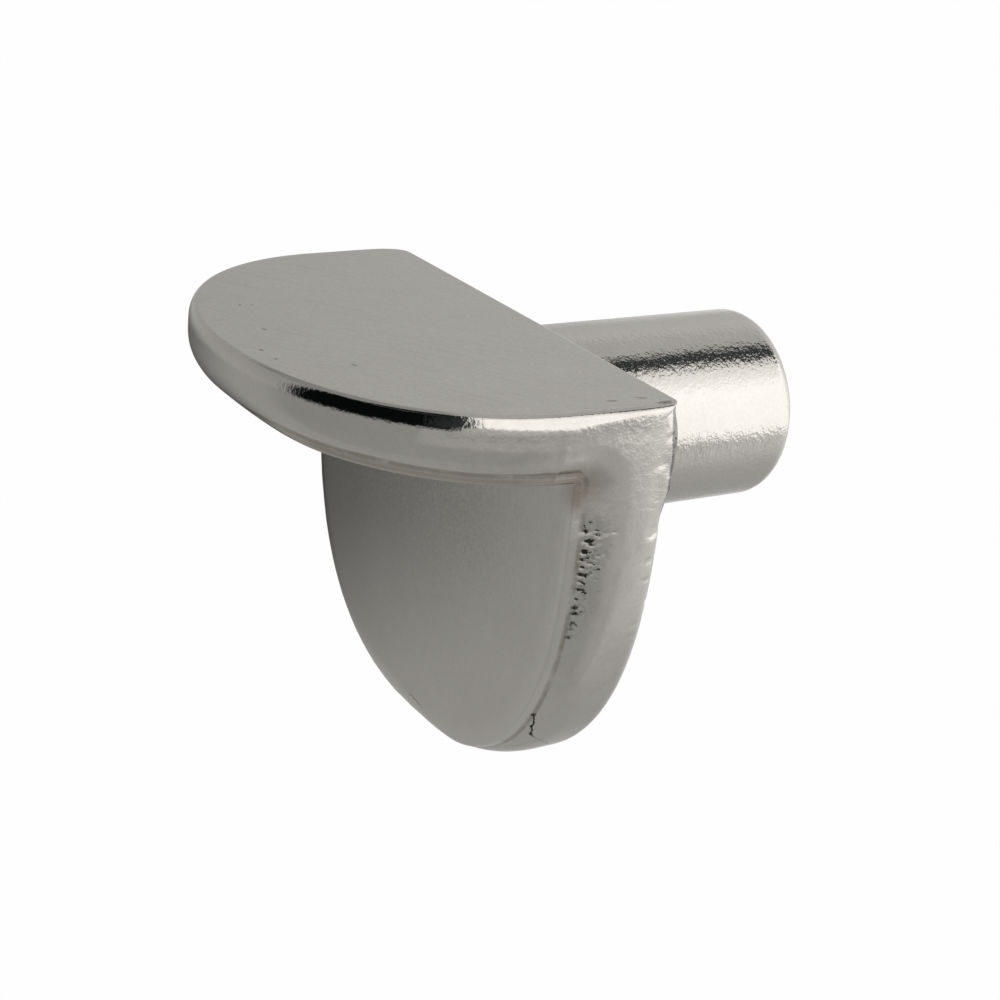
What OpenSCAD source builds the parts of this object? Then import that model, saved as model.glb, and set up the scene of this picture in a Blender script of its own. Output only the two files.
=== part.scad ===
// Shelf support pin: one die casting, bent from a tongue into an L. Its upper leg is the plate
// that carries the shelf, its lower leg is the flange that bears on the cabinet side, and a
// round pin on the flange's back plugs into a drilled hole there.
// The origin is on the pin's axis, in the plane of the flange's back. +Y is towards the pin's
// free end, and +Z is up.

/* [Pin] */
// Diameter of the pin
pin_d = 5; // [3:0.1:5.6]
// Length of the pin, from the flange's back to its tip
pin_len = 7.1; // [3:0.1:16]
// Rounding of the pin's tip
pin_tip_r = 0.5; // [0.1:0.05:1.2]

/* [Plate] */
// Height of the seat, the plate's upper face, above the pin's axis
seat_h = 2.9; // [2.8:0.05:6]
// Width of the plate
plate_w = 13.3; // [9:0.1:20]
// Reach of the plate, from the flange's back to its nose
plate_reach = 8.35; // [6.5:0.05:16]
// Thickness of the plate at the flange's back
plate_t = 1.85; // [1.6:0.05:2.6]
// Length of the plate's sides, from the flange's back to where its nose starts
plate_straight = 2.7; // [1.5:0.05:4]
// Squareness of the plate's nose, where 2 is an ellipse
plate_square = 2.1; // [1.8:0.05:3]
// Draft of the plate's underside, in degrees
plate_draft = 2; // [0:0.1:2.5]

/* [Flange] */
// Width of the flange
flange_w = 13.3; // [9:0.1:20]
// Depth of the flange below the pin's axis
flange_drop = 8; // [5.5:0.05:16]
// Thickness of the flange at the seat's height
flange_t = 2.55; // [1.8:0.05:3.5]
// Length of the flange's sides, from the seat's height to where its foot starts
flange_straight = 2.75; // [2:0.05:5]
// Squareness of the flange's foot, where 2 is an ellipse
flange_square = 2.5; // [1.8:0.05:3.2]
// Draft of the flange's front, in degrees
flange_draft = 0.3; // [0:0.1:2.5]

/* [Edges] */
// Width of the rounding along the seat's rim
seat_edge_in = 0.2; // [0.1:0.05:0.5]
// Depth of the rounding along the seat's rim
seat_edge_deep = 0.4; // [0.1:0.05:0.6]
// Rounding along the rim of the flange's back, and of the seat's two back corners
back_edge_r = 0.55; // [0.2:0.05:0.8]
// Width of the rounding along the plate's lower rim and the flange's front rim
inner_edge_in = 0.8; // [0.2:0.05:1]
// Depth of that rounding
inner_edge_deep = 0.95; // [0.2:0.05:1]
// Radius of the fillet between the plate and the flange
fillet_r = 0.6; // [0.2:0.05:1.2]

/* [Hidden] */
NOSE_STEPS = 40;
BEND_STEPS = 5;
EDGE_STEPS = 4;

// The fillet's axis lies one radius off both drafted faces
plate_slope = tan(plate_draft);
flange_slope = tan(flange_draft);
fillet_y0 = -flange_t - fillet_r / cos(flange_draft);
fillet_z0 = seat_h - plate_t - fillet_r / cos(plate_draft);
fillet_z = (fillet_z0 - plate_slope * (fillet_y0 + flange_slope * seat_h))
           / (1 - plate_slope * flange_slope);
fillet_y = fillet_y0 + flange_slope * (seat_h - fillet_z);

// A leg of the L: width, straight length, reach, squareness, thickness, slope of its inner
// face, and the width and depth of its outer rim's rounding
plate = [plate_w, plate_straight, plate_reach, plate_square, plate_t, plate_slope,
         seat_edge_in, seat_edge_deep];
flange = [flange_w, flange_straight, seat_h + flange_drop, flange_square, flange_t,
          flange_slope, back_edge_r, back_edge_r];

// The levels of the rim, from the outer faces to the inner ones: whether a level is counted
// from the inner face, and its shares of the rounding's width and depth
levels = concat([for (i = [0:EDGE_STEPS]) let (a = 90 * i / EDGE_STEPS)
                    [false, 1 - sin(a), 1 - cos(a)]],
                [for (i = [0:EDGE_STEPS]) let (a = 90 * i / EDGE_STEPS)
                    [true, 1 - cos(a), 1 - sin(a)]]);

// A point on a leg's rim, at a turn of a degrees round its nose: across, along, and below the
// outer face
function leg_point(leg, level, a) =
    let (inside = level[1] * (level[0] ? inner_edge_in : leg[6]),
         deep = level[2] * (level[0] ? inner_edge_deep : leg[7]),
         across = (leg[0] / 2 - inside) * sign(cos(a)) * pow(abs(cos(a)), 2 / leg[3]),
         along = leg[1] + (leg[2] - inside - leg[1]) * pow(sin(a), 2 / leg[3]))
    [across, along, level[0] ? leg[4] - leg[5] * along - deep : deep];
function plate_point(level, a) =
    let (p = leg_point(plate, level, a)) [p[0], -p[1], seat_h - p[2]];
function flange_point(level, a) =
    let (p = leg_point(flange, level, a)) [p[0], -p[2], seat_h - p[1]];

// The turns round a leg's nose, from where the bend ends
function turns(leg, bend_end) =
    let (share = max(0, bend_end - leg[1]) / (leg[2] - leg[1]), a = asin(pow(share, leg[3] / 2)))
    [for (i = [1:NOSE_STEPS - 1]) a + (180 - 2 * a) * i / NOSE_STEPS];

// The bend between the legs, where v runs from -1 at the plate to 1 at the flange
function bend_inner(v) =
    let (a = 45 + (flange_draft - plate_draft) / 2 - (90 - plate_draft - flange_draft) * v / 2)
    [fillet_y + fillet_r * cos(a), fillet_z + fillet_r * sin(a)];
plate_bend = -bend_inner(-1)[0];
flange_bend = seat_h - bend_inner(1)[1];
function bend_outer(v) =
    v < 0 ? [-v * v * plate_bend, seat_h] : [0, seat_h - v * v * flange_bend];
// Half the width of the bend, which goes over from the plate's to the flange's, along the bend
// and with height
function smooth(share) = (1 - cos(180 * min(1, max(0, share)))) / 2;
function bend_half_w(v, z) =
    (plate_w + (flange_w - plate_w) * smooth(v + 1) * smooth((seat_h - z) / flange_bend)) / 2;
// How much of the back's rounding the seat's rim has, which turns its back corners round
function back_share(v) =
    let (s = v < 0 ? min(1, v * v * plate_bend / back_edge_r) : 0) 1 - sqrt(1 - pow(1 - s, 2));
function bend_point(level, v) =
    let (share = back_share(v), outer = bend_outer(v), inner = bend_inner(v),
         inward = (inner - outer) / norm(inner - outer),
         edge_in = seat_edge_in + (back_edge_r - seat_edge_in) * share,
         edge_deep = seat_edge_deep + (back_edge_r - seat_edge_deep) * share,
         p = level[0] ? inner - inward * level[2] * inner_edge_deep
                      : outer + inward * level[2] * edge_deep)
    [bend_half_w(v, p[1]) - level[1] * (level[0] ? inner_edge_in : edge_in), p[0], p[1]];
bend = [for (k = [-BEND_STEPS:BEND_STEPS]) k / BEND_STEPS];

// One level's closed line: round the plate's nose, down the bend, round the flange's foot and
// up the bend again
function ring(level) =
    concat([for (a = turns(plate, plate_bend)) plate_point(level, a)],
           [for (v = bend) let (p = bend_point(level, v)) [-p[0], p[1], p[2]]],
           [for (a = turns(flange, flange_bend)) flange_point(level, 180 - a)],
           [for (v = bend) bend_point(level, -v)]);

module bent_tongue() {
    rings = [for (level = levels) ring(level)];
    n = len(rings[0]);
    left = NOSE_STEPS - 1;
    right = n - 1;
    span = 2 * BEND_STEPS;
    cap = concat([[for (i = [-1:left]) (i + n) % n]],
                 [for (k = [0:span - 1]) [right - k, left + k, left + k + 1, right - k - 1]],
                 [[for (i = [left + span:right - span]) i]]);
    base = n * (len(rings) - 1);
    inner_cap = [for (face = cap) [for (i = [len(face) - 1:-1:0]) base + face[i]]];
    rim = [for (k = [0:len(rings) - 2]) for (i = [0:n - 1]) let (j = (i + 1) % n)
        [(k + 1) * n + i, (k + 1) * n + j, k * n + j, k * n + i]];
    polyhedron([for (r = rings) for (p = r) p], concat(cap, inner_cap, rim));
}

module pin() {
    root = flange_t / 2;
    rotate([-90, 0, 0]) translate([0, 0, -root])
        rotate_extrude($fn = 96) {
            square([pin_d / 2, root + pin_len - pin_tip_r]);
            square([pin_d / 2 - pin_tip_r, root + pin_len]);
            translate([pin_d / 2 - pin_tip_r, root + pin_len - pin_tip_r])
                circle(pin_tip_r, $fn = 48);
        }
}

module support() {
    color([0.66, 0.65, 0.62]) {
        bent_tongue();
        pin();
    }
}

support();
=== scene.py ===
import itertools
import math
from collections import namedtuple

import bmesh
import bpy
import numpy as np
from mathutils import Matrix, Vector
from mathutils.kdtree import KDTree


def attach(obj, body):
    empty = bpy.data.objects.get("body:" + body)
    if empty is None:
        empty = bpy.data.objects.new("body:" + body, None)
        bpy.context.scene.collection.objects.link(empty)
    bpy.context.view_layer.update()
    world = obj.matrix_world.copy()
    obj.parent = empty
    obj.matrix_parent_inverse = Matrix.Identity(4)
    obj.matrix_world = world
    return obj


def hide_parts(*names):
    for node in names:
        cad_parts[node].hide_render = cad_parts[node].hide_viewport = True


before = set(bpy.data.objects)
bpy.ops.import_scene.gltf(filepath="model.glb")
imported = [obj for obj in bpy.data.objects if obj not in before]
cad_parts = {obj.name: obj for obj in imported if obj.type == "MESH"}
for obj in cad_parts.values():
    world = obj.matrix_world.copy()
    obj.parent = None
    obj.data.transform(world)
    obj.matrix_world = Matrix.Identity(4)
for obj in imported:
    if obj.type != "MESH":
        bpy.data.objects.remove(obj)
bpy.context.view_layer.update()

MM = 0.001

# The casting's sizes in millimetres and degrees, as its solid has them
PIN_D, PIN_LEN, PIN_TIP_R = 5.0, 7.1, 0.5
SEAT_H = 2.9
PLATE_W, PLATE_REACH, PLATE_T, PLATE_STRAIGHT = 13.3, 8.35, 1.85, 2.7
PLATE_SQUARE, PLATE_DRAFT = 2.1, 2.0
FLANGE_W, FLANGE_DROP, FLANGE_T, FLANGE_STRAIGHT = 13.3, 8.0, 2.55, 2.75
FLANGE_SQUARE, FLANGE_DRAFT = 2.5, 0.3
SEAT_EDGE_IN, SEAT_EDGE_DEEP = 0.2, 0.4
BACK_EDGE_R = 0.55
FILLET_R = 0.6

# What the casting shows beyond its plain solid. The seat's back edge is just broken, and its near
# corner is tighter than its far one.
BROKEN_EDGE_R = 0.09
NEAR_CORNER_R, FAR_CORNER_R = 0.38, 0.85
# The flange's near back edge is sharp from this far below the seat to this far above the pin's
# axis, and goes over to the plain rounding within each pair
SHARP_EDGE_R = 0.14
SHARP_BELOW_SEAT, SHARP_ABOVE_AXIS = (0.0, 0.85), (0.2, 0.9)
# The inner rim runs down to a lip where the mould halves parted, and then blends into the inner
# face: how far the lip lies inside the rim and above that face, and how far inside the blend ends
LIP_IN, LIP_DEEP, NEAR_BLEND_IN, FAR_BLEND_IN = 0.24, 0.28, 0.36, 1.0
LIP_FILLET_R = 0.06
LIP_CURVE = 2.7
# How far above the inner face each leg's side starts to run down to the lip, and the cosines of
# the turn round its nose between which the blend goes over from the far side's to the near one's
PLATE_LIP_FROM, FLANGE_LIP_FROM = 1.0, 1.5
PLATE_NEAR_FROM, FLANGE_NEAR_FROM = (-0.15, 0.55), (-0.2, 0.4)

PLATE_SLOPE = math.tan(math.radians(PLATE_DRAFT))
FLANGE_SLOPE = math.tan(math.radians(FLANGE_DRAFT))
# The fillet's axis lies one radius off both drafted faces
fillet_y0 = -FLANGE_T - FILLET_R / math.cos(math.radians(FLANGE_DRAFT))
fillet_z0 = SEAT_H - PLATE_T - FILLET_R / math.cos(math.radians(PLATE_DRAFT))
FILLET_Z = ((fillet_z0 - PLATE_SLOPE * (fillet_y0 + FLANGE_SLOPE * SEAT_H))
            / (1 - PLATE_SLOPE * FLANGE_SLOPE))
FILLET_Y = fillet_y0 + FLANGE_SLOPE * (SEAT_H - FILLET_Z)

# A leg of the casting: its outline, the slope of its inner face, its outer rim's rounding, and
# where its inner rim changes
Leg = namedtuple("Leg", ("width", "straight", "reach", "square", "thick", "slope",
                         "edge_in", "edge_deep", "lip_from", "near_from"))
PLATE = Leg(PLATE_W, PLATE_STRAIGHT, PLATE_REACH, PLATE_SQUARE, PLATE_T, PLATE_SLOPE,
            SEAT_EDGE_IN, SEAT_EDGE_DEEP, PLATE_LIP_FROM, PLATE_NEAR_FROM)
FLANGE = Leg(FLANGE_W, FLANGE_STRAIGHT, SEAT_H + FLANGE_DROP, FLANGE_SQUARE, FLANGE_T, FLANGE_SLOPE,
             BACK_EDGE_R, BACK_EDGE_R, FLANGE_LIP_FROM, FLANGE_NEAR_FROM)


def ramp(value, low, high):
    """0 up to low and 1 from high, smooth between them."""
    t = np.clip((value - low) / (high - low), 0, 1)
    return t * t * (3 - 2 * t)


# The tongue-shaped body, bent into an L

OUTER, RUN_DOWN, BLEND = range(3)
ROUNDING_STEPS, SIDE_STEPS, RUN_DOWN_STEPS, BLEND_STEPS = 12, 8, 20, 10
BEND_STEPS, ARC_STEPS, FACE_STEPS = 36, 24, 32
# How much the blend's levels crowd towards the lip
BLEND_CROWDING = 1.2
# How fast a back corner's own radius fades out on the way down the bend
CORNER_FADE = 2.2
# The spacing of points on the rim, and from how many turns round a nose it is worked out
RIM_STEP, NOSE_SAMPLES = 0.1, 6000
# The flange's rim is divided more finely beside its pits: how far down their middle is, how far
# that reaches to either side, and the share of the spacing there
PITS_MIDDLE, PITS_BESIDE, PITS_SPACING = 4.4, 1.7, 0.42
# How much the sides bow in towards the nose, and how far in front of the back it starts and ends
NOSE_BOW, NOSE_BOW_OVER = 0.036, (1.2, 3.6)
# How much they bow in towards the back, between which places along Y, over which length, and how
# steeply they taper after it
BACK_BOW, BACK_BOW_OVER, BACK_BOW_LENGTH, BACK_TAPER = 0.02, (-1.6, -0.5), 1.05, 0.05
# Points across a face are spaced evenly by this share, and otherwise crowd towards its two sides
EVEN_SHARE = 0.45
# How far from the lip the bend's inside has filled out to the solid's fillet
FILL_REACH = 0.9


def rim_levels():
    """The levels of the rim from the outer faces to the inner ones: the part they lie in, how far
    through it they are, and how far down the straight side. OUTER is the outer rounding and the
    straight side, RUN_DOWN the way to the lip, and BLEND the way on into the inner face."""
    levels = [(OUTER, s, 0.0) for s in np.linspace(0, 1, ROUNDING_STEPS + 1)]
    levels += [(OUTER, 1.0, s) for s in np.linspace(0, 1, SIDE_STEPS + 1)[1:-1]]
    levels += [(RUN_DOWN, s, 0.0) for s in np.linspace(0, 1, RUN_DOWN_STEPS + 1)]
    levels += [(BLEND, s, 0.0)
               for s in np.linspace(0, 1, BLEND_STEPS + 1)[1:] ** BLEND_CROWDING]
    return levels


def back_radius(z, near):
    """Radius of the back's edge, which is sharp on the near side from below the seat to the pin."""
    sharp = ramp(SEAT_H - z, *SHARP_BELOW_SEAT) * ramp(z, *SHARP_ABOVE_AXIS) * near
    return BACK_EDGE_R - (BACK_EDGE_R - SHARP_EDGE_R) * sharp


def inner_part(level, lip_from, nearness):
    """How far a level lies inside the rim and above the inner face."""
    part, share, _ = level
    if part == BLEND:
        blend_in = FAR_BLEND_IN + (NEAR_BLEND_IN - FAR_BLEND_IN) * nearness
        return LIP_IN + (blend_in - LIP_IN) * share, LIP_DEEP * (1 - share) ** 2
    share = share if part == RUN_DOWN else 0.0
    return LIP_IN * share ** LIP_CURVE, lip_from + (LIP_DEEP - lip_from) * share


def rounding(share):
    """Shares of a rounding's width and depth that are left and gone at this share of its arc."""
    return 1 - math.sin(share * math.pi / 2), 1 - math.cos(share * math.pi / 2)


def leg_rim(leg, level, turn):
    """Points on a leg's rim at these turns round its nose: across, along, and below its outer
    face."""
    part, share, down = level
    inside, above = inner_part(level, leg.lip_from, ramp(np.cos(turn), *leg.near_from))
    edge_in, edge_deep = leg.edge_in, leg.edge_deep
    if leg is FLANGE:
        height = (SEAT_H - leg.straight
                  - (leg.reach - leg.straight) * np.sin(turn) ** (2 / leg.square))
        edge_in = edge_deep = back_radius(height, np.cos(turn) > 0)
    if part == OUTER:
        inside = edge_in * rounding(share)[0]
    cos = np.cos(turn)
    across = (leg.width / 2 - inside) * np.sign(cos) * np.abs(cos) ** (2 / leg.square)
    along = leg.straight + (leg.reach - inside - leg.straight) * np.sin(turn) ** (2 / leg.square)
    deep = leg.thick - leg.slope * along - above
    if part == OUTER:
        deep = edge_deep * rounding(share)[1] + down * (deep - edge_deep)
    return across, along, deep


def bend_inner(v):
    """The solid's fillet, where v runs from -1 at the plate to 1 at the flange."""
    a = np.radians(45 + (FLANGE_DRAFT - PLATE_DRAFT) / 2
                   - (90 - PLATE_DRAFT - FLANGE_DRAFT) * v / 2)
    return np.stack([FILLET_Y + FILLET_R * np.cos(a), FILLET_Z + FILLET_R * np.sin(a)], -1)


PLATE_BEND = -bend_inner(-1.0)[0]
FLANGE_BEND = SEAT_H - bend_inner(1.0)[1]


def bend_within(v, deep):
    """A point of the line through the inside of the bend, this deep within the inner faces."""
    over = FLANGE_T - deep
    corner_y = (-over + FLANGE_SLOPE * (PLATE_T - deep)) / (1 - FLANGE_SLOPE * PLATE_SLOPE)
    corner = np.array([corner_y, SEAT_H - PLATE_T + deep - PLATE_SLOPE * corner_y])
    plate_way = np.array([-1, PLATE_SLOPE]) / math.hypot(1, PLATE_SLOPE)
    flange_way = np.array([FLANGE_SLOPE, -1]) / math.hypot(1, FLANGE_SLOPE)
    half = math.acos(plate_way @ flange_way) / 2
    radius = LIP_FILLET_R + deep
    middle = (plate_way + flange_way) / (2 * math.cos(half))
    centre = corner + middle * radius / math.sin(half)
    first = corner + plate_way * radius / math.tan(half)
    swing = np.linspace(-1, 1, ARC_STEPS + 1) * (math.pi / 2 - half)
    base = math.atan2(-middle[1], -middle[0])
    arc = centre + radius * np.stack([np.cos(base - swing), np.sin(base - swing)], -1)
    if np.linalg.norm(arc[0] - first) > np.linalg.norm(arc[-1] - first):
        arc = arc[::-1]
    start = np.array([-PLATE_BEND, SEAT_H - PLATE_T + deep + PLATE_SLOPE * PLATE_BEND])
    end_z = SEAT_H - FLANGE_BEND
    end = np.array([-over + FLANGE_SLOPE * (SEAT_H - end_z), end_z])
    line = np.concatenate([[start], arc, [end]])
    step = np.linalg.norm(np.diff(line, axis=0), axis=1)
    # The arc counts double, so that more of the rings run through it
    step[1:-1] *= 2
    length = np.concatenate([[0], np.cumsum(step)])
    share = (np.asarray(v) + 1) / 2 * length[-1]
    return np.array([np.interp(share, length, line[:, k]) for k in range(2)])


def bend_outer(v):
    """The outer faces' line through the bend, with its corner just broken."""
    s = np.where(v < 0, -v * v * PLATE_BEND, v * v * FLANGE_BEND)
    y, z = np.minimum(s, 0), SEAT_H - np.maximum(s, 0)
    turn = math.pi / 4 * (1 + np.clip(s / BROKEN_EDGE_R, -1, 1))
    near = np.abs(s) < BROKEN_EDGE_R
    y = np.where(near, -BROKEN_EDGE_R + BROKEN_EDGE_R * np.sin(turn), y)
    z = np.where(near, SEAT_H - BROKEN_EDGE_R + BROKEN_EDGE_R * np.cos(turn), z)
    return np.stack([y, z], -1)


def bend_rim(level, v, corner_r, near=False):
    """Points on the bend's rim: half the width there, and their place along Y and Z."""
    part, share, down = level
    lip_from = PLATE_LIP_FROM + (FLANGE_LIP_FROM - PLATE_LIP_FROM) * ramp(v, -1.0, 1.0)
    inside, above = inner_part(level, lip_from, float(near))
    end = np.array([bend_within(*pair) for pair in zip(v, above + 0 * v)])
    if part != OUTER:
        return PLATE_W / 2 - inside + 0 * v, end[:, 0], end[:, 1]
    outer = bend_outer(v)
    reach = end - outer
    inward = reach / np.linalg.norm(reach, axis=-1, keepdims=True)
    # The seat's rim goes over to the back's rounding within the corner's radius of the back
    past = np.where(v < 0, np.minimum(1, v * v * PLATE_BEND / corner_r), 0)
    rounder = 1 - np.sqrt(np.maximum(0, 1 - (1 - past) ** 2))
    back_deep = back_radius(outer[:, 1], near)
    corner_share = np.maximum(0, 1 - np.maximum(0, v) * CORNER_FADE) ** 2
    back_in = back_deep + (corner_r - BACK_EDGE_R) * corner_share
    edge_in = np.where(v < 0, SEAT_EDGE_IN + (corner_r - SEAT_EDGE_IN) * rounder, back_in)
    edge_deep = np.where(v < 0, SEAT_EDGE_DEEP + (BACK_EDGE_R - SEAT_EDGE_DEEP) * rounder,
                         back_deep)[:, None]
    start = outer + inward * edge_deep
    width_left, depth_gone = rounding(share)
    place = outer + inward * edge_deep * depth_gone + down * (end - start)
    return PLATE_W / 2 - edge_in * width_left, place[:, 0], place[:, 1]


def even_turns(leg, bend_end, step, finer=lambda along: 1.0):
    """Turns round a leg's nose that space its outline evenly, with a tighter spacing where
    the surface needs it; the far half mirrors the near one."""
    start = math.asin((max(0, bend_end - leg.straight) / (leg.reach - leg.straight))
                      ** (leg.square / 2))
    turn = start + (math.pi / 2 - start) * np.linspace(0, 1, NOSE_SAMPLES) ** 2
    across, along, _ = leg_rim(leg, (OUTER, 1.0, 0.0), turn)
    piece = np.hypot(np.diff(across), np.diff(along)) / finer((along[1:] + along[:-1]) / 2)
    length = np.concatenate([[0], np.cumsum(piece)])
    count = int(math.ceil(length[-1] / step))
    half = np.interp(np.linspace(0, length[-1], count + 1)[1:], length, turn)
    return np.concatenate([half, math.pi - half[:-1][::-1]])


def finer_at_pits(along):
    """The share of the rim's spacing that is kept, this far along the flange."""
    return np.where(np.abs(along - PITS_MIDDLE) < PITS_BESIDE, PITS_SPACING, 1.0)


BEND = np.concatenate([np.linspace(-1, 0, BEND_STEPS + 1)[:-1], np.linspace(0, 1, BEND_STEPS + 1)])
PLATE_TURNS = even_turns(PLATE, PLATE_BEND, RIM_STEP)
FLANGE_TURNS = even_turns(FLANGE, FLANGE_BEND, RIM_STEP, finer_at_pits)


def bowed(points):
    """The sides bow in a little, towards the nose and towards the back."""
    y = points[:, 1]
    low, high = BACK_BOW_OVER
    bow = (NOSE_BOW * ramp(-y, *NOSE_BOW_OVER)
           + BACK_BOW * ((np.clip(y, low, high) - low) / BACK_BOW_LENGTH) ** 3)
    bow += BACK_TAPER * np.maximum(0, y - high)
    return points * np.stack([1 - bow / (PLATE_W / 2), 1 + 0 * y, 1 + 0 * y], -1)


def tongue_ring(level):
    """One level's closed line: round the plate's nose, down the bend, round the foot and up."""
    x, along, deep = leg_rim(PLATE, level, PLATE_TURNS)
    nose = np.stack([x, -along, SEAT_H - deep], -1)
    half, y, z = bend_rim(level, BEND, FAR_CORNER_R)
    down = np.stack([-half, y, z], -1)
    x, along, deep = leg_rim(FLANGE, level, math.pi - FLANGE_TURNS)
    foot = np.stack([x, -deep, SEAT_H - along], -1)
    half, y, z = bend_rim(level, -BEND, NEAR_CORNER_R, near=True)
    up = np.stack([half, y, z], -1)
    return bowed(np.concatenate([nose, down, foot, up]))


def wrapped(ring_count, n):
    """Faces between closed rings of n points each."""
    return [(k * n + i, k * n + (i + 1) % n, (k + 1) * n + (i + 1) % n, (k + 1) * n + i)
            for k in range(ring_count - 1) for i in range(n)]


def tongue_mesh():
    """The rim's rings, closed by the outer and the inner faces as rows from side to side."""
    rings = [tongue_ring(level) for level in rim_levels()]
    n = len(rings[0])
    points, faces = list(np.concatenate(rings)), wrapped(len(rings), n)
    tip = len(PLATE_TURNS) // 2
    foot = (tip + n // 2) % n
    left = [(tip + k) % n for k in range(1, n // 2)]
    right = [(tip - k) % n for k in range(1, n // 2)]
    share = np.linspace(0, 1, FACE_STEPS + 1)
    crowded = 1 - np.cos(math.pi * share)
    share = (EVEN_SHARE * share + (1 - EVEN_SHARE) * crowded / 2)[1:-1]
    # Away from the lip, the bend's inside fills out to the solid's fillet
    tight = np.array([bend_within(v, 0.0) for v in BEND])
    fuller = dict(zip(range(len(PLATE_TURNS), len(PLATE_TURNS) + len(BEND)),
                      np.insert(bend_inner(BEND) - tight, 0, 0, axis=1)))
    outer_face, inner_face = 0, (len(rings) - 1) * n
    for base in (outer_face, inner_face):
        rows = []
        for a, b in zip(left, right):
            pa, pb = points[base + a], points[base + b]
            first = len(points)
            fill = fuller.get(a, np.zeros(3)) if base == inner_face else np.zeros(3)
            for s in share:
                from_side = min(s, 1 - s) * np.linalg.norm(pb - pa) / FILL_REACH
                points.append(pa + (pb - pa) * s + fill * (1 - math.exp(-from_side * from_side)))
            rows.append([base + a, *range(first, first + len(share)), base + b])
        for one, two in zip(rows, rows[1:]):
            for c in range(len(one) - 1):
                faces.append((one[c], one[c + 1], two[c + 1], two[c]))
        for c in range(len(rows[0]) - 1):
            faces.append((base + tip, rows[0][c + 1], rows[0][c]))
            faces.append((base + foot, rows[-1][c], rows[-1][c + 1]))
    return np.array(points), faces


def pin_mesh():
    """The pin, from inside the flange to its rounded tip."""
    sides, rooted, root_step = 168, 1.2, 0.3
    along_steps, tip_steps, end_steps = 77, 10, 19
    straight, flat_r = PIN_LEN - PIN_TIP_R, PIN_D / 2 - PIN_TIP_R
    line = [(PIN_D / 2, y) for y in (*np.arange(-rooted, 0, root_step),
                                     *np.linspace(0.0, straight, along_steps + 1))]
    line += [(flat_r + PIN_TIP_R * math.cos(a), straight + PIN_TIP_R * math.sin(a))
             for a in np.linspace(0, math.pi / 2, tip_steps + 1)[1:]]
    line += [(r, PIN_LEN) for r in np.linspace(flat_r, 0, end_steps + 1)[1:-1]]
    turns = [2 * math.pi * k / sides for k in range(sides)]
    points = [(r * math.sin(a), y, r * math.cos(a)) for r, y in line for a in turns]
    faces = wrapped(len(line), sides)
    points += [(0, line[0][1], 0), (0, PIN_LEN, 0)]
    root, tip, last = len(points) - 2, len(points) - 1, (len(line) - 1) * sides
    for k in range(sides):
        j = (k + 1) % sides
        faces.append((root, j, k))
        faces.append((tip, last + k, last + j))
    return np.array(points), faces


def make_object(name, points, faces):
    """An object at the origin from points in millimetres."""
    mesh = bpy.data.meshes.new(name)
    mesh.from_pydata([tuple(p) for p in np.asarray(points) * MM], [], faces)
    mesh.update()
    obj = bpy.data.objects.new(name, mesh)
    bpy.context.scene.collection.objects.link(obj)
    return obj


def face_outwards(obj):
    """Merges doubled points, and turns every face outwards."""
    bm = bmesh.new()
    bm.from_mesh(obj.data)
    bmesh.ops.remove_doubles(bm, verts=bm.verts, dist=1e-7)
    bmesh.ops.recalc_face_normals(bm, faces=bm.faces)
    bm.to_mesh(obj.data)
    bm.free()


def joined(name, one, two):
    """The two shells as one closed skin."""
    face_outwards(one)
    face_outwards(two)
    union = one.modifiers.new("join", "BOOLEAN")
    union.operation, union.solver, union.object = "UNION", "EXACT", two
    depsgraph = bpy.context.evaluated_depsgraph_get()
    mesh = bpy.data.meshes.new_from_object(one.evaluated_get(depsgraph))
    one.modifiers.remove(union)
    for old in (one, two):
        bpy.data.objects.remove(old)
    mesh.name = name
    obj = bpy.data.objects.new(name, mesh)
    bpy.context.scene.collection.objects.link(obj)
    return obj


support = joined("support_casting", make_object("tongue", *tongue_mesh()),
                 make_object("pin", *pin_mesh()))


# The cast and plated surface: its unevenness is cut into the skin, never raised above it

# Whole numbers that scatter a cell's place into a height that looks random
CELL_KEYS = np.array([73856093, 19349663, 83492791])
MIXERS, POSITIVE = (1274126177, 668265263), 0x7FFFFFFF
SEED_STEP = 19.37


def uneven(points, size, seed):
    """Smooth random heights from -1 to 1, with cells of this size."""
    q = points / size + seed * SEED_STEP
    cell = np.floor(q).astype(np.int64)
    f = q - cell
    f = f * f * f * (f * (f * 6 - 15) + 10)
    total = np.zeros(len(q))
    for corner in itertools.product((0, 1), repeat=3):
        h = (cell + corner) @ CELL_KEYS
        for shift, mixer in zip((13, 15), MIXERS):
            h = ((h ^ (h >> shift)) * mixer) & POSITIVE
        value = ((h >> 8) & 0xFFFF) / 32767.5 - 1
        total += value * np.prod(np.where(corner, f, 1 - f), axis=1)
    return total


# What stands for any distance that doesn't matter, and the longest one kept from the lip
FAR_OFF, LIP_FAR_OFF = 9.0, 3.0
# The inner faces' line is this many points long in each leg, and runs on this far past its nose
FACE_POINTS, FACE_PAST = 30, 1
# The curved side is this much longer than it is high
SIDE_STRETCH = 1.06
# How many pits there are, how many of them lie in the row, and the row's top and length
PITS, PITS_IN_ROW, PITS_TOP, PITS_LENGTH = 40, 14, 0.06, 2.9
# A pit in the row, and one scattered beyond it: half its width, half its height and its share of
# the full depth
ROW_PIT = (0.10, 0.21), (0.065, 0.105), 1.0
STRAY_PIT = (0.06, 0.13), (0.035, 0.06), 0.62
PIT_DEPTH, FLASH_DEPTH, BURR_DEPTH = 0.03, 0.014, 0.032
# Where something fades in or out is a pair: where it starts to change, and where it has changed. A
# level face is known by its normal, and the wall face also by how far it lies off the back.
LEVEL_FACE, SEAT_SKIN, OFF_BACK = (0.985, 0.999), (SEAT_H - 0.1, SEAT_H - 0.02), (0.005, 0.05)
PIN_SKIN, NEAR_SIDE = (0.02, 0.2), (4.0, 4.6)
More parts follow.
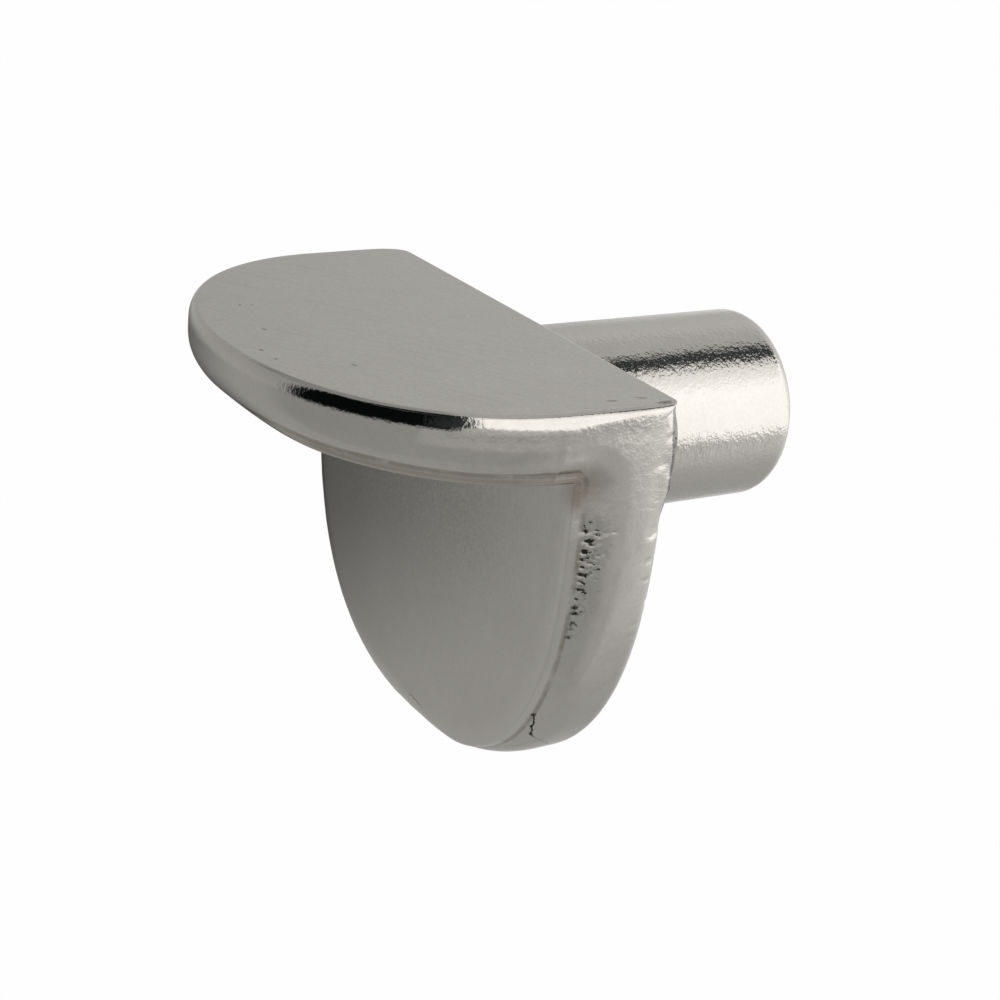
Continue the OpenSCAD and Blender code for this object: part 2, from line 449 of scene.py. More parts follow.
# The porous band, and the burr along the back edge
BAND_BOTTOM, BAND_TOP = (-3.4, -1.7), (0.1, 0.3)
BURR_BOTTOM, BURR_TOP, BURR_IN_FRONT = (-5.2, -3.6), (2.3, 2.7), (-0.75, -0.15)
# How far the flash wanders off the lip's line, and half its width
FLASH_WANDER, FLASH_HALF = 0.02, 0.03
# The layers of the skin's unevenness: how deep each cuts at most, the size of its cells, its seed
BILLOWS, RIPPLES, SAND = (0.006, 2.6, 1), (0.003, 0.8, 2), (0.003, 0.3, 4)
WORN_WAVES = (0.003, 1.6, 3)
HARD_CORNER = math.radians(50)


def nearest_on(line, points):
    """How far points lie from an open line, all in one plane."""
    nearest = np.full(len(points), FAR_OFF)
    for a, b in zip(line, line[1:]):
        to, step = points - a, b - a
        t = np.clip(to @ step / (step @ step), 0, 1)
        nearest = np.minimum(nearest, np.linalg.norm(to - t[:, None] * step, axis=1))
    return nearest


def across_lip(place):
    """Where points lie across the inner rim: 0 on the parting line along the lip, more towards the
    outer faces, less towards the inner ones, in millimetres."""
    _, y, z = place.T
    under_y = np.linspace(-PLATE_REACH - FACE_PAST, -PLATE_BEND, FACE_POINTS)[:-1]
    under = np.stack([under_y, SEAT_H - PLATE_T - PLATE_SLOPE * under_y], -1)
    front_z = np.linspace(SEAT_H - FLANGE_BEND, -FLANGE_DROP - FACE_PAST, FACE_POINTS)[1:]
    front = np.stack([-FLANGE_T + FLANGE_SLOPE * (SEAT_H - front_z), front_z], -1)
    inner_line = np.concatenate([under, [bend_within(v, 0.0) for v in BEND], front])
    above = nearest_on(inner_line, np.stack([y, z], -1))
    parting = np.where(above > LIP_DEEP, (above - LIP_DEEP) * SIDE_STRETCH,
                       (NEAR_BLEND_IN - LIP_IN) * (np.sqrt(above / LIP_DEEP) - 1))
    return np.where(y > 0.001, FAR_OFF, parting)


def lip_distance(place):
    """How far points lie from the lip's line."""
    line = tongue_ring((RUN_DOWN, 1.0, 0.0))
    tree = KDTree(len(line))
    for k, point in enumerate(line):
        tree.insert(point, k)
    tree.balance()
    return np.array([tree.find(point)[2] for point in place])


def pits(place, parting):
    """Shrinkage pits beside the parting line, below the bend: a row of deep ones along it and
    shallow ones scattered beyond, fewer and smaller on the way down."""
    z = place[:, 2]
    chance = np.random.RandomState(11)
    pit = np.zeros(len(place))
    wobble = uneven(place, 0.09, 5)
    for k in range(PITS):
        in_row = k < PITS_IN_ROW
        half_width, half_height, depth_share = ROW_PIT if in_row else STRAY_PIT
        low = (k + chance.uniform(0.2, 0.8)) / PITS_IN_ROW if in_row else chance.rand() ** 1.2
        pit_z = PITS_TOP - PITS_LENGTH * low
        off = (chance.uniform(0.03, 0.13) if in_row
               else 0.16 + 0.62 * (1 - 0.6 * low) * chance.rand())
        wide = chance.uniform(*half_width)
        high = chance.uniform(*half_height)
        lean = chance.normal(0, 0.6)
        size = depth_share * chance.uniform(0.7, 1.0) * (1 - 0.45 * low)
        u, w = parting - off, z - pit_z
        out = np.sqrt(((u + lean * w) / wide) ** 2 + ((w - lean * 0.4 * u) / high) ** 2)
        pit = np.maximum(pit, size * (1 - ramp(out + 0.35 * wobble, 0.2, 1.2)))
    return pit


def pitted_band(place, parting):
    """The porous band that the pits lie in, which narrows on the way down."""
    z = place[:, 2]
    narrowed = np.clip((0.15 - z) / 3.0, 0, 1)
    band = ramp(parting, -0.02, 0.05) * (1 - ramp(parting, 0.15, 1.0 - 0.62 * narrowed))
    return band * ramp(z, *BAND_BOTTOM) * (1 - ramp(z, *BAND_TOP))


def flash(place, parting, rough_cast):
    """The parting line itself: a thin flash that is rubbed flat here and there."""
    wander = FLASH_WANDER * uneven(place, 0.9, 6)
    on_line = np.exp(-((parting - wander) / FLASH_HALF) ** 2) * rough_cast
    return on_line * (0.45 + 0.55 * ramp(uneven(place, 0.5, 7), -0.5, 0.4))


def burr(place, normal):
    """How deep the ragged teeth along the flange's back edge are cut."""
    _, y, z = place.T
    teeth = uneven(place * np.array([0.3, 0.45, 1.0]), 0.17, 9)
    teeth += 0.6 * uneven(place * np.array([0.3, 0.6, 1.0]), 0.33, 10)
    back_edge = (ramp(y, *BURR_IN_FRONT) * ramp(normal[:, 0], 0.25, 0.7)
                 * ramp(z, *BURR_BOTTOM) * (1 - ramp(z, *BURR_TOP)))
    return BURR_DEPTH * ramp(teeth, 0.1, 1.2) * back_edge


def read_vectors(mesh, name):
    """The places or the normals of a mesh's points."""
    values = np.empty(len(mesh.vertices) * 3)
    mesh.vertices.foreach_get(name, values)
    return values.reshape(-1, 3)


def cut(place, deepest, cell, seed):
    """How deep a layer of the unevenness is cut."""
    return deepest * (1 + uneven(place, cell, seed)) / 2


def cast_skin(mesh):
    """Cuts the casting's unevenness into the skin, and keeps what its finish needs to know."""
    place, normal = read_vectors(mesh, "co") / MM, read_vectors(mesh, "normal")
    x, y, z = place.T
    on_pin = ramp(y, *PIN_SKIN)
    seat = ramp(normal[:, 2], *LEVEL_FACE) * ramp(z, *SEAT_SKIN)
    wall_face = ramp(normal[:, 1], *LEVEL_FACE) * (1 - ramp(np.abs(y), *OFF_BACK))
    flat = np.clip(seat + wall_face, 0, 1)
    rough_cast = 1 - flat
    near_side = ramp(x, *NEAR_SIDE) * rough_cast * (1 - on_pin)
    parting = across_lip(place)
    pit = pits(place, parting) * near_side * ramp(parting, -0.03, 0.02)

    depth = cut(place, *BILLOWS) * rough_cast
    depth += cut(place, *RIPPLES) * rough_cast
    depth += cut(place, *WORN_WAVES) * flat
    depth += cut(place, *SAND) * rough_cast * (0.25 + 0.75 * on_pin)
    depth += PIT_DEPTH * pit
    depth += FLASH_DEPTH * flash(place, parting, rough_cast)
    depth += burr(place, normal) * near_side

    for name, values in (("parting", parting), ("pit", pit),
                         ("pitted", pitted_band(place, parting) * near_side),
                         ("from_lip", np.minimum(lip_distance(place), LIP_FAR_OFF))):
        kept = mesh.attributes.new(name, "FLOAT", "POINT")
        kept.data.foreach_set("value", values.astype(np.float32))
    mesh.vertices.foreach_set("co", ((place - normal * depth[:, None]) * MM).ravel())
    mesh.update()


def smoothed(mesh):
    """Smooth shading, with a hard corner only where the pin leaves the wall face."""
    for face in mesh.polygons:
        face.use_smooth = True
    skin = bmesh.new()
    skin.from_mesh(mesh)
    for edge in skin.edges:
        edge.smooth = edge.calc_face_angle(0.0) < HARD_CORNER
    skin.to_mesh(mesh)
    skin.free()


cast_skin(support.data)
smoothed(support.data)


# Materials

class Value:
    """A socket of a finish's node, whose sums and products are nodes too."""

    def __init__(self, finish, socket):
        self.finish, self.socket = finish, socket

    def math(self, operation, *others):
        return self.finish.node("ShaderNodeMath", {"operation": operation}, self, *others)

    def out(self, name):
        """Another output of the same node."""
        return Value(self.finish, self.socket.node.outputs[name])

    def smooth(self, low, high):
        """0 up to low and 1 from high, smooth between them."""
        return self.finish.node("ShaderNodeMapRange", {"interpolation_type": "SMOOTHSTEP"},
                                self, low, high, 0.0, 1.0)

    def __add__(self, other):
        return self.math("ADD", other)

    def __sub__(self, other):
        return self.math("SUBTRACT", other)

    def __rsub__(self, other):
        return self.finish.node("ShaderNodeMath", {"operation": "SUBTRACT"}, other, self)

    def __mul__(self, other):
        return self.math("MULTIPLY", other)

    def __neg__(self):
        return self.math("MULTIPLY", -1.0)

    def __abs__(self):
        return self.math("ABSOLUTE")

    __radd__, __rmul__ = __add__, __mul__


class Finish:
    """A material and the nodes that make it."""

    def __init__(self, name):
        self.material = bpy.data.materials.new(name)
        self.material.use_nodes = True
        self.tree = self.material.node_tree
        self.tree.nodes.clear()

    def node(self, kind, settings=None, *inputs, output=0, **named):
        """A node of this kind; its inputs are values or links, in order or by name."""
        node = self.tree.nodes.new(kind)
        for key, value in (settings or {}).items():
            setattr(node, key, value)
        sockets = [(node.inputs[k], v) for k, v in enumerate(inputs)]
        sockets += [(node.inputs[key.replace("_", " ")], v) for key, v in named.items()]
        for socket, value in sockets:
            if isinstance(value, Value):
                self.tree.links.new(value.socket, socket)
            elif value is not None:
                socket.default_value = value
        return Value(self, node.outputs[output]) if node.outputs else None

    def painted(self, name):
        """A number that the mesh holds at each point."""
        return self.node("ShaderNodeAttribute", {"attribute_name": name}, output="Fac")

    def mixed(self, share, one, two):
        """Goes over from one colour to the other; a Mix node's colours come last in its list."""
        return self.node("ShaderNodeMix", {"data_type": "RGBA"}, share, *[None] * 5, one, two,
                         output=2)

    def surface(self, shader):
        """The finished material, with this shader on its surface."""
        self.node("ShaderNodeOutputMaterial", {}, shader)
        return self.material


# Where the plating's patterns start and end, as pairs again: the parts of the casting first
SEAT_FACE, BEFORE_BACK = (SEAT_H - 0.05, SEAT_H - 0.02), (-0.05, 0.0)
PIN_FROM, RIM_FROM, SIDE_FROM = (0.0, 0.1), (SEAT_H - 0.62, SEAT_H - 0.3), (5.2, 6.2)
FRONT_FACE, FRONT_BOTTOM, FRONT_TOP = (-2.52, -2.42), (-4.8, -1.0), (0.4, 0.8)
FRONT_NEAR = 1.5, 5.5
# The crack at the foot, by how far it lies below the pin's axis: where it starts, gets finer and
# ends, and its two bends with how far each leads away from the lip
CRACK_FROM, CRACK_FINER, CRACK_TO = (5.1, 5.2), (5.95, 6.2), (6.5, 6.9)
CRACK_BENDS = ((5.15, 5.95), 0.16), ((5.85, 6.7), 0.95)
# How far off the lip the crack starts, how far it jags to and fro, and half its width
CRACK_OFF_LIP, CRACK_JAG, CRACK_HALF = 0.02, 0.34, (0.014, 0.05)
# The streaks in front of the back edge, which end on that edge, and how high they stand
STREAKS_IN_FRONT, STREAKS_EDGE = (-1.35, -0.3), (-0.02, 0.0)
STREAKS_BOTTOM, STREAKS_TOP, STREAKS_HIGH = (-5.2, -3.2), (1.6, 2.3), 0.0053
# The painted highlight and painted shade inside the lip, which only its near half has: how far
# from the lip they reach, and where on the way up the flange's painted highlight ends and the
# plate's painted shade starts
LIP_INSIDE, LIP_NEAR_HALF = (0.0, 0.05), (-1.0, 1.5)
LIP_HIGHLIGHT_REACH, LIP_HIGHLIGHT_TOP = (0.0, 0.85), (0.2, 0.6)
UNDER_LIP_SHADE_REACH, UNDER_LIP_SHADE_FROM = (0.1, 0.5), (0.4, 0.7)
# The painted shade along the back edge: its width there, less above the first place and more above
# the second
EDGE_SHADE_WIDTH, EDGE_SHADE_LESS, EDGE_SHADE_MORE = 0.24, ((0.3, 0.9), 0.07), ((1.5, 2.6), 0.10)
EDGE_SHADE_SIDE, EDGE_SHADE_BOTTOM, EDGE_SHADE_TOP = (5.6, 6.0), (0.05, 0.2), (2.7, 2.9)
EDGE_SHADE_BACK = 0.02, 0.05
# Nicks and specks on the seat: where they are, how long and wide, and their turn in degrees; and
# how deep the box is that each of them fills
NICKS = (
    (-2.58, -6.66, 0.07, 0.05, 0), (-2.52, -6.37, 0.06, 0.045, 30), (-0.70, -6.91, 0.11, 0.05, 15),
    (0.71, -7.65, 0.10, 0.05, 0), (1.38, -7.60, 0.08, 0.05, 10), (2.23, -6.07, 0.09, 0.05, 40),
    (6.01, -1.59, 0.16, 0.05, 80), (6.03, -0.79, 0.18, 0.05, 70), (6.42, -0.42, 0.10, 0.28, 0))
NICK_DEPTH = 0.3
# The way the seat was brushed, from +X towards +Y in degrees, and the size of a brushed streak
BRUSHED_WAY, BRUSHED_STREAK = 37, (2.6, 0.16, 1.0)
# Where painted shade darkens the corner between the two lips, and how far round it
LIP_CORNER, LIP_CORNER_REACH = (6.35, -2.45, 1.1), (0.15, 0.9)

# The plating's two tones, the tones that grain, wear and grime bring to it, and painted highlight
# and painted shade
NICKEL = (0.646, 0.631, 0.597, 1), (0.664, 0.650, 0.616, 1)
BRUSHED = (0.30, 0.29, 0.27, 1)
GRAIN, FINE_GRAIN, MOTTLE = (0.35, 0.34, 0.32, 1), (0.36, 0.35, 0.33, 1), (0.40, 0.39, 0.36, 1)
# A painted highlight along the lip on the flange
LIP_HIGHLIGHT = (0.80, 0.785, 0.745, 1)
# The first is painted shade, brownish, along the lip under the plate; the second is grime on the
# lip's line
UNDER_LIP_SHADE, LIP_GRIME = (0.32, 0.28, 0.22, 1), (0.20, 0.165, 0.11, 1)
# Painted shade, brown-grey, in the corner between the two lips
CORNER_SHADE = (0.33, 0.28, 0.20, 1)
PORE_VEIL, HOLLOW = (0.36, 0.35, 0.30, 1), (0.022, 0.019, 0.013, 1)
# The first two: painted shade along the near back edge, and the dark specks in it
SCALE, EDGE_SHADE_SPECK, NICK = (0.17, 0.17, 0.163, 1), (0.03, 0.03, 0.03, 1), (0.12, 0.10, 0.08, 1)


class SatinNickel(Finish):
    """Nickel plating over a cast surface: its axes in millimetres, the parts of the casting that
    its patterns keep to, and the grains that several of them share."""

    def __init__(self):
        super().__init__("satin_nickel")
        self.at = self.node("ShaderNodeVectorMath", {"operation": "SCALE"},
                            self.node("ShaderNodeTexCoord", output="Object"), Scale=1 / MM)
        axes = self.node("ShaderNodeSeparateXYZ", {}, self.at)
        self.x, self.y, self.z = (axes.out(name) for name in "XYZ")
        self.on_seat = self.z.smooth(*SEAT_FACE) * (1.0 - self.y.smooth(*BEFORE_BACK))
        self.off_seat = 1.0 - self.on_seat
        self.on_pin = self.y.smooth(*PIN_FROM)
        self.on_rim = self.z.smooth(*RIM_FROM) * self.off_seat * (1.0 - self.on_pin)
        self.on_side = self.x.smooth(*SIDE_FROM) * (1.0 - self.on_pin) * self.off_seat
        self.parting, self.from_lip = self.painted("parting"), self.painted("from_lip")
        self.pitted, self.pit = self.painted("pitted"), self.painted("pit")
        self.grit = self.noise(7.0, at=self.mapped("POINT", (1, 0.6, 1.1)))
        self.fine = self.noise(14.0)

    def noise(self, scale, detail=2.0, rough=0.5, at=None):
        """Soft random patches, of which scale fit into a millimetre."""
        return self.node("ShaderNodeTexNoise", {"noise_dimensions": "3D"}, Vector=at or self.at,
                         Scale=scale, Detail=detail, Roughness=rough)

    def mapped(self, kind, size, place=(0, 0, 0), turned=0):
        """Object space stretched by size for POINT, or seen from a box of that size for TEXTURE."""
        return self.node("ShaderNodeMapping", {"vector_type": kind}, self.at, place,
                         (0, 0, math.radians(turned)), size)


def foot_crack(n):
    """The jagged crack at the foot, which leaves the lip's line on its way down."""
    low = -n.z
    first, second = (low.smooth(*where) * aside for where, aside in CRACK_BENDS)
    jag = (n.noise(2.6, 3.0, 0.6) - 0.5) * CRACK_JAG
    line = first + second + CRACK_OFF_LIP
    crack = 1.0 - abs(n.parting - line - jag).smooth(*CRACK_HALF)
    crack = crack * low.smooth(*CRACK_FROM) * (1.0 - low.smooth(*CRACK_FINER) * 0.72)
    crack = crack * (1.0 - low.smooth(*CRACK_TO)) * n.x.smooth(0.0, 1.0)
    return crack * n.parting.smooth(-0.07, -0.03)


def hollows(n):
    """The pits, the pores between them and the crack, with ragged edges."""
    pores = (n.grit + n.pitted * 0.14 - 0.705).smooth(0.0, 0.09) * n.pitted.smooth(0.03, 0.3)
    deep_pits = (n.pit + (n.fine - 0.5) * 0.5).smooth(0.14, 0.62) * n.pit.smooth(0.02, 0.12)
    return pores.math("MAXIMUM", deep_pits).math("MAXIMUM", foot_crack(n))


def relief(n, dark):
    """Heights in millimetres: sand on the pin, a ragged seat rim, streaks beside the back edge, a
    fine grain, and the hollows."""
    high = n.noise(3.0) * (0.0014 + 0.0022 * n.on_pin + 0.0020 * n.on_rim
                           + 0.0022 * n.on_side) * n.off_seat
    high = high + n.noise(1.1) * 0.008 * n.on_side
    high = high + n.noise(7.0) * (0.0014 + 0.0080 * n.on_pin + 0.0030 * n.on_rim) * n.off_seat
    high = high + n.fine * (0.0006 + 0.0030 * n.on_pin + 0.0012 * n.on_rim)
    beside_edge = n.y.smooth(*STREAKS_IN_FRONT) * (1.0 - n.y.smooth(*STREAKS_EDGE)) * n.off_seat
    beside_edge = beside_edge * n.z.smooth(*STREAKS_BOTTOM) * (1.0 - n.z.smooth(*STREAKS_TOP))
    streaks = n.noise(1.0, 3.0, 0.65, at=n.mapped("POINT", (1.5, 2.6, 8.0)))
    high = high + streaks * beside_edge * STREAKS_HIGH
    return high - dark * dark * 0.008


def plating(n, cloud):
    """The plating's tone: clouds in it, brushed streaks on the seat, and grain."""
    colour = n.mixed(cloud, *NICKEL)
    brushed = n.noise(1.0, 4.0, 0.6, at=n.mapped("TEXTURE", BRUSHED_STREAK, turned=BRUSHED_WAY))
    brushed = brushed.smooth(0.45, 0.7) * n.noise(0.35).smooth(0.35, 0.6)
    colour = n.mixed(n.on_seat * brushed * 0.10, colour, BRUSHED)
    colour = n.mixed(n.noise(9.0, 3.0, 0.7).smooth(0.3, 0.7) * 0.07, colour, GRAIN)
    on_front = (1.0 - n.z.smooth(*FRONT_TOP)) * (1.0 - n.y.smooth(*FRONT_FACE))
    on_front = on_front * n.z.smooth(*FRONT_BOTTOM) * (1.0 - n.x.smooth(*FRONT_NEAR))
    speckle = n.fine.smooth(0.35, 0.65) * (0.04 + 0.10 * n.on_seat + 0.26 * on_front)
    colour = n.mixed(speckle, colour, FINE_GRAIN)
    mottle = n.noise(2.2, 4.0, 0.65).smooth(0.35, 0.7)
    return n.mixed(mottle * (0.05 + 0.11 * n.on_side), colour, MOTTLE)


def along_lip(n, colour, grime_and_shade_patches):
    """The lip has a painted highlight on the flange and painted shade, brownish, under the plate,
    with a veil over the pores, grime on its line and painted shade in its corner."""
    within = (-n.parting).smooth(*LIP_INSIDE) * n.x.smooth(*LIP_NEAR_HALF)
    # rubbed is a painted highlight along the lip on the flange
    rubbed = (1.0 - n.from_lip.smooth(*LIP_HIGHLIGHT_REACH)) * within * (1.0 - n.z.smooth(*LIP_HIGHLIGHT_TOP))
    colour = n.mixed(rubbed * 0.58, colour, LIP_HIGHLIGHT)
    # under is painted shade, brownish, along the lip under the plate
    under = (1.0 - n.from_lip.smooth(*UNDER_LIP_SHADE_REACH)) * within * n.z.smooth(*UNDER_LIP_SHADE_FROM)
    colour = n.mixed(under * 0.55, colour, UNDER_LIP_SHADE)
    veil = n.pitted * (n.grit + n.fine - 0.55).smooth(0.25, 0.6)
    colour = n.mixed(veil * 0.35, colour, PORE_VEIL)
    grime = 1.0 - abs(n.parting + (n.fine - 0.5) * 0.05).smooth(0.010, 0.055)
    grime = grime * grime_and_shade_patches.smooth(0.3, 0.55) * n.parting.smooth(-0.03, -0.01)
    colour = n.mixed(grime * 0.45, colour, LIP_GRIME)
    # Painted shade in the inner corner between the plate and the flange
    from_corner = n.node("ShaderNodeVectorMath", {"operation": "DISTANCE"}, n.at, LIP_CORNER,
                         output="Value")
    return n.mixed((1.0 - from_corner.smooth(*LIP_CORNER_REACH)) * 0.4, colour, CORNER_SHADE)


def shaded_back_edge(n, colour, grime_and_shade_patches):
    """Painted shade along the sharp back edge, with dark specks in it, wider towards the seat and
    where the edge rounds off."""
    less, more = (n.z.smooth(*where) * change for where, change in (EDGE_SHADE_LESS, EDGE_SHADE_MORE))
    wide = EDGE_SHADE_WIDTH - less + more
    # scale is the mask of the painted shade along the back edge, and SCALE its colour
    scale = (n.y + wide + (n.fine - 0.5) * 0.07).smooth(-0.02, 0.02)
    scale = scale * (1.0 - n.y.smooth(*EDGE_SHADE_BACK)) * n.x.smooth(*EDGE_SHADE_SIDE)
    scale = scale * n.z.smooth(*EDGE_SHADE_BOTTOM) * (1.0 - n.z.smooth(*EDGE_SHADE_TOP))
    colour = n.mixed(scale * (0.70 + 0.25 * grime_and_shade_patches), colour, SCALE)
    return n.mixed(scale * (n.grit - 0.62).smooth(0.0, 0.06) * 0.8, colour, EDGE_SHADE_SPECK)


def nicked(n, colour):
    """Nicks and specks on the seat."""
    for nick_x, nick_y, long, wide, turned in NICKS:
        nick_at = n.mapped("TEXTURE", (long, wide, NICK_DEPTH), (nick_x, nick_y, SEAT_H), turned)
        away = n.node("ShaderNodeVectorMath", {"operation": "LENGTH"}, nick_at, output="Value")
        nick = 1.0 - (away + (n.fine - 0.5) * 1.6).smooth(0.4, 1.1)
        colour = n.mixed(nick * 0.7, colour, NICK)
    return colour


def nickel_finish():
    """Satin nickel plating, with its wear, its casting faults, and painted highlight and shade."""
    n = SatinNickel()
    dark, cloud, grime_and_shade_patches = hollows(n), n.noise(0.45).smooth(0.3, 0.7), n.noise(1.3, 3.0, 0.6)
    colour = along_lip(n, plating(n, cloud), grime_and_shade_patches)
    colour = nicked(n, shaded_back_edge(n, colour, grime_and_shade_patches))
    colour = n.mixed(dark * 0.97, colour, HOLLOW)
    rough = 0.068 + 0.03 * cloud + 0.045 * n.on_seat + 0.35 * dark
    bump = n.node("ShaderNodeBump", {}, Strength=1.0, Distance=MM, Height=relief(n, dark))
    return n.surface(n.node("ShaderNodeBsdfPrincipled", {}, Base_Color=colour, Metallic=1.0,
                            Roughness=rough, Normal=bump))


support.data.materials.clear()
support.data.materials.append(nickel_finish())
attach(support, "root")
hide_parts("support")


# The studio: one surround of soft-edged lamps, cards and tables, seen in the metal only

# Lengths in millimetres, turns and rises in degrees
CENTRE = np.array([0.0, 0.0, -1.5])
SURROUND_R, SURROUND_STEP = 400.0, 2.0
FLOOR_DROP, FLOOR_HALF = 410.0, 4000.0
BETWEEN_PATCHES = 0.03
# A patch is laid from this far before its start, so that its soft edge has room
EDGE_ROOM = 60
# The surround's light is cool where it is dim and warm where it is bright
COOL, WARM = (0.90, 1.0, 1.06, 1), (1.0, 0.985, 0.962, 1)
# The card's place, its extent along Y and Z with the points there, and where it fades in and out
CARD_X, CARD_Y, CARD_Z = -12.0, (-20, 6, 53), (-18, 4, 45)
CARD_FADES_Y, CARD_FADES_Z = ((-18.5, -1.5), (1.0, 5.5)), ((-16, -6), (-1.0, 3.0))
CARD_TONE, CARD_LIGHT = (1, 0.97, 0.92, 1), 0.08
PALE, WHITE, FLOOR_WHITENESS = (0.9, 0.9, 0.9, 1), (1, 1, 1, 1), 0.9

# Each patch: its turn from +X towards +Y and its rise above the horizon, in degrees, with its low
# edge's rise at either end first, how soft its edges are, and its brightness at its low start, low
# end, high start and high end. Later patches lie over earlier ones.
PATCHES = (
    # the grey backdrop behind and on the left, and the ceiling over it
    ((85, 165), (-20, -20, 99), 3, (0.95, 0.76, 0.50, 0.42)),
    ((145, 330), (-20, -20, 42), 10, (0.54, 0.37, 0.46, 0.28)),
    ((150, 330), (42, 42, 99), 8, (0.32, 0.30, 0.40, 0.30)),
    ((100, 165), (10, 10, 42), 6, (0.75, 0.435, 0.76, 0.50)),
    ((85, 165), (42, 42, 62), 6, (0.58, 0.54, 0.54, 0.44)),
    # the table
    ((-180, 180), (-99, -99, -13), 6, (0.41, 0.41, 0.41, 0.41)),
    ((240, 310), (-62, -62, -10), 14, (0.37, 0.38, 0.335, 0.37)),
    ((-62, 39), (-60, -60, -13), 8, (0.38, 0.39, 0.37, 0.40)),
    ((20, 60), (-60, -60, -13), 24, (0.44, 0.44, 0.52, 0.52)),
    ((-50, 39), (-22.5, -20, 12), 5, (0.44, 0.54, 0.48, 1.20)),
    ((38, 150), (-64, -64, -34), 6, (0.44, 0.36, 0.59, 0.46)),
    ((40, 108), (-36, -36, -12), 16, (0.70, 0.66, 0.82, 0.95)),
    ((105, 152), (-38, -38, -14), 5, (0.58, 0.58, 0.85, 0.75)),
    # the dark room in front, behind the camera
    ((249, 330), (-13, -13, 52), 10, (0.004, 0.004, 0.003, 0.004)),
    ((262, 330), (52, 52, 99), 10, (0.004, 0.004, 0.003, 0.004)),
    ((-45, -22), (-8, 4, 99), 8, (0.03, 0.05, 0.01, 0.02)),
    ((-45, 89), (64, 64, 99), 8, (0.03, 0.03, 0.02, 0.02)),
    # the softbox on the right, its overhead part, and the dark gap behind it
    ((-22, 45), (48, 48, 72), 6, (1.40, 1.10, 0.80, 0.45)),
    ((-22, 38), (5, -13, 51), 9, (1.40, 1.50, 1.45, 1.36)),
    ((34, 89), (-17, -17, 34), 6, (1.46, 1.50, 1.62, 1.40)),
    ((34, 70), (32, 32, 52), 5, (1.50, 1.30, 1.00, 0.90)),
    ((80, 107), (-18, -18, 12), 5, (1.45, 1.20, 1.20, 0.80)),
    ((68, 91), (37, 37, 60.5), 7, (0.045, 0.055, 0.045, 0.055)),
)


def seen_in_metal(obj):
    """Leaves a studio piece visible in reflections alone."""
    obj.visible_camera = obj.visible_diffuse = obj.visible_shadow = obj.visible_transmission = False


def mesh_grid(name, points, rows, across, closed, value_name, values):
    """A sheet of points in rows, closed round if asked, that holds a value at each point."""
    ends = range(across if closed else across - 1)
    faces = [(i * across + j, i * across + (j + 1) % across, (i + 1) * across + (j + 1) % across,
              (i + 1) * across + j) for i in range(rows - 1) for j in ends]
    obj = make_object(name, points, faces)
    kept = obj.data.attributes.new(value_name, "FLOAT", "POINT")
    kept.data.foreach_set("value", values)
    return obj


def faded(value, fade_in, fade_out):
    """0 up to where it fades in, 1 between the two fades, and 0 again beyond them."""
    return ramp(value, *fade_in) * (1 - ramp(value, *fade_out))


def window(value, low, high, soft):
    """1 between low and high, going over to 0 across each edge."""
    return faded(value, (low - soft / 2, low + soft / 2), (high - soft / 2, high + soft / 2))


def brightness(turn, rise):
    """How bright the surround is in each direction."""
    tone = np.full(turn.shape, BETWEEN_PATCHES)
    for (t0, t1), (low_start, low_end, high), soft, (low_a, low_b, high_a, high_b) in PATCHES:
        past = (turn - t0 + EDGE_ROOM) % 360 - EDGE_ROOM + t0
        u = np.clip((past - t0) / (t1 - t0), 0, 1)
        low = low_start + (low_end - low_start) * u
        v = np.clip((rise - low) / (high - low), 0, 1)
        own = (1 - v) * ((1 - u) * low_a + u * low_b) + v * ((1 - u) * high_a + u * high_b)
        share = window(past, t0, t1, soft) if t1 - t0 < 360 else 1.0
        tone += (own - tone) * share * window(rise, low, high, soft)
    return tone


def surround():
    """The sphere of lamps, cards, table and dark room."""
    turn = np.arange(0, 360, SURROUND_STEP)
    rise = np.arange(-90, 90 + SURROUND_STEP, SURROUND_STEP)
    turns, rises = (g.ravel() for g in np.meshgrid(turn, rise))
    t, r = np.radians(turns), np.radians(rises)
    points = SURROUND_R * np.stack([np.cos(r) * np.cos(t), np.cos(r) * np.sin(t), np.sin(r)], -1)
    obj = mesh_grid("surround", points + CENTRE, len(rise), len(turn), True, "tone",
                    brightness(turns, rises))
    f = Finish("surround")
    tone = f.painted("tone")
    tint = f.mixed(tone.smooth(0.05, 0.2), COOL, WARM)
    obj.data.materials.append(f.surface(f.node("ShaderNodeEmission", {}, tint, tone)))
    seen_in_metal(obj)


def dark_card():
    """A dark card with soft edges that stands just left of the part."""
    ys, zs = np.linspace(*CARD_Y), np.linspace(*CARD_Z)
    y, z = (g.ravel() for g in np.meshgrid(ys, zs))
    cover = faded(y, *CARD_FADES_Y) * faded(z, *CARD_FADES_Z)
    obj = mesh_grid("dark_card", np.stack([np.full(y.shape, CARD_X), y, z], -1), len(zs), len(ys),
                    False, "cover", cover)
    f = Finish("dark_card")
    clear = f.node("ShaderNodeBsdfTransparent", {}, WHITE)
    card = f.node("ShaderNodeEmission", {}, CARD_TONE, CARD_LIGHT)
    obj.data.materials.append(
        f.surface(f.node("ShaderNodeMixShader", {}, f.painted("cover"), clear, card)))
    seen_in_metal(obj)


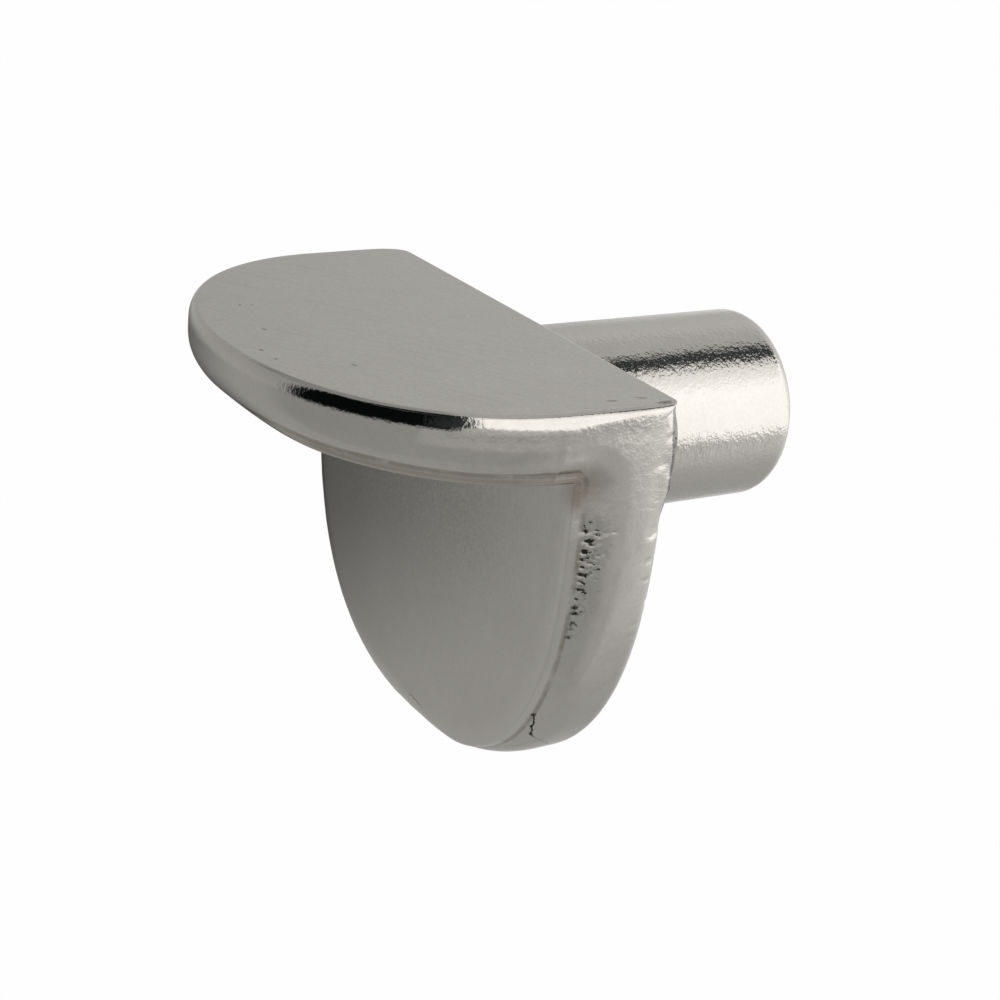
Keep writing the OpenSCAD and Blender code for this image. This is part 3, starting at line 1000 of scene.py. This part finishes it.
def pale_floor():
    """Pale and soft; the camera sees it nearly white, and the part's shadow still falls on it."""
    corners = [(sx * FLOOR_HALF, sy * FLOOR_HALF, -FLOOR_DROP)
               for sx, sy in ((-1, -1), (1, -1), (1, 1), (-1, 1))]
    floor = make_object("floor", corners, [(0, 1, 2, 3)])
    f = Finish("pale_floor")
    path = f.node("ShaderNodeLightPath")
    seen = path.out("Is Camera Ray").math("MAXIMUM", path.out("Is Glossy Ray"))
    seen = seen.math("MAXIMUM", path.out("Is Transmission Ray"))
    diffuse = f.node("ShaderNodeBsdfDiffuse", {}, PALE)
    white = f.node("ShaderNodeEmission", {}, WHITE, 1.0)
    floor.data.materials.append(
        f.surface(f.node("ShaderNodeMixShader", {}, seen * FLOOR_WHITENESS, diffuse, white)))


surround()
dark_card()
pale_floor()

world = bpy.data.worlds.new("studio")
bpy.context.scene.world = world
world.use_nodes = True
background = world.node_tree.nodes["Background"].inputs
background["Color"].default_value = WHITE
background["Strength"].default_value = 1.0


# The camera: where it stands round the part in degrees, how far off and what it aims at in
# millimetres, and its lens in widths of its sensor

AZIMUTH, ELEVATION, ROLL, DISTANCE = 56.431, 21.662, 5.838, 52.376
AIM = Vector((0.227, -0.45, -1.889))
SENSOR_W, LENS = 36, 2.05297
NEAR_CLIP, FAR_CLIP = 0.001, 10

a, e, roll = (math.radians(v) for v in (AZIMUTH, ELEVATION, ROLL))
back = Vector((math.sin(a) * math.cos(e), -math.cos(a) * math.cos(e), math.sin(e)))
right = (-back).cross(Vector((0, 0, 1))).normalized()
up = right.cross(-back)
across = right * math.cos(roll) + up * math.sin(roll)
upright = up * math.cos(roll) - right * math.sin(roll)
camera = bpy.data.objects.new("camera", bpy.data.cameras.new("camera"))
bpy.context.scene.collection.objects.link(camera)
camera.data.sensor_width = SENSOR_W
camera.data.lens = LENS * SENSOR_W
camera.data.clip_start, camera.data.clip_end = NEAR_CLIP, FAR_CLIP
facing = Matrix((across, upright, back)).transposed().to_4x4()
camera.matrix_world = Matrix.Translation((AIM + back * DISTANCE) * MM) @ facing
bpy.context.scene.camera = camera
bpy.context.scene.view_settings.view_transform = "Standard"
